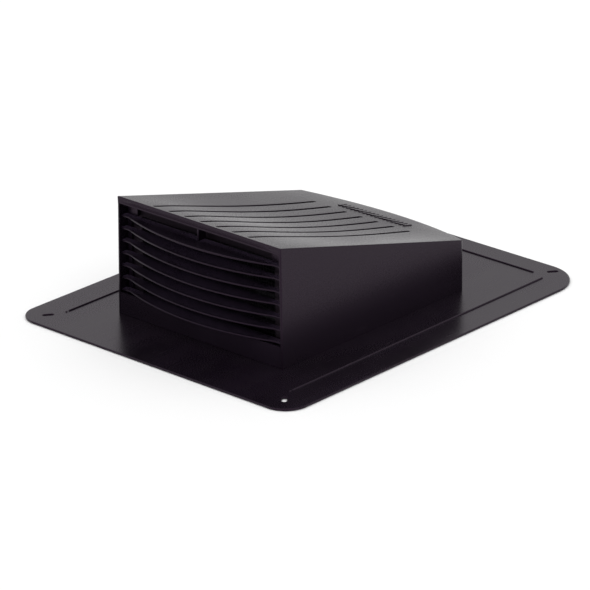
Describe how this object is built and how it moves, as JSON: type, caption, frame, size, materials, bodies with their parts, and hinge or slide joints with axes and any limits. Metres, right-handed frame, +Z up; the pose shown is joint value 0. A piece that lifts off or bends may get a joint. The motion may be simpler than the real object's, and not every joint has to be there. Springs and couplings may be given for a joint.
{
  "type": "roof vent cover",
  "caption": "Slant-back roof exhaust vent cover with an arched louvre front, insect screen, gravity damper and a wide nailing flange.",
  "frame": {"origin": "centre of the flange's underside, on the roof deck", "axes": "+Z up away from the deck, +Y uphill towards the low back of the hood, +X to the right seen from the louvres"},
  "size_m": [0.356, 0.444, 0.1237],
  "materials": {
    "hood_plastic": "satin moulded polypropylene, black with a faint warm violet cast",
    "flange_plastic": "satin moulded polypropylene, black",
    "louvre_plastic": "satin moulded polypropylene, black",
    "inner_plastic": "matt moulded polypropylene, black",
    "flap_plastic": "matt moulded polypropylene, dark grey",
    "screen_wire": "woven wire, anodised black",
    "seal_foam": "closed-cell foam strip, matt",
    "pin_steel": "drawn stainless wire",
    "screw_zinc": "zinc-plated steel"
  },
  "bodies": {
    "vent_body": {"base_flange": "flange_plastic", "throat_collar": "flange_plastic", "hood_shell": "hood_plastic", "louvre_frame": "louvre_plastic", "louvre_blade_1": "louvre_plastic", "louvre_blade_2": "louvre_plastic", "louvre_blade_3": "louvre_plastic", "louvre_blade_4": "louvre_plastic", "louvre_blade_5": "louvre_plastic", "louvre_blade_6": "louvre_plastic", "louvre_blade_7": "louvre_plastic", "screen_frame": "inner_plastic", "screen_mesh": "screen_wire", "damper_hinge_pin": "pin_steel", "throat_seal_left": "seal_foam", "throat_seal_right": "seal_foam", "throat_seal_front": "seal_foam", "throat_seal_back": "seal_foam", "hinge_bracket_left": "inner_plastic", "hinge_bracket_right": "inner_plastic", "hinge_pin_clip_left": "pin_steel", "hinge_pin_clip_right": "pin_steel", "hood_screw_front_left": "screw_zinc", "hood_screw_front_right": "screw_zinc", "hood_screw_back_left": "screw_zinc", "hood_screw_back_right": "screw_zinc", "screen_screw_lower_left": "screw_zinc", "screen_screw_lower_right": "screw_zinc", "screen_screw_upper_left": "screw_zinc", "screen_screw_upper_right": "screw_zinc"},
    "damper": {"damper_flap": "flap_plastic"}
  },
  "joints": [
    {"name": "damper_hinge", "type": "hinge", "parent": "vent_body", "child": "damper", "pos_m": [0, 0.078, 0.033], "axis": [-1, 0, 0], "range_deg": [0, 20]}
  ]
}
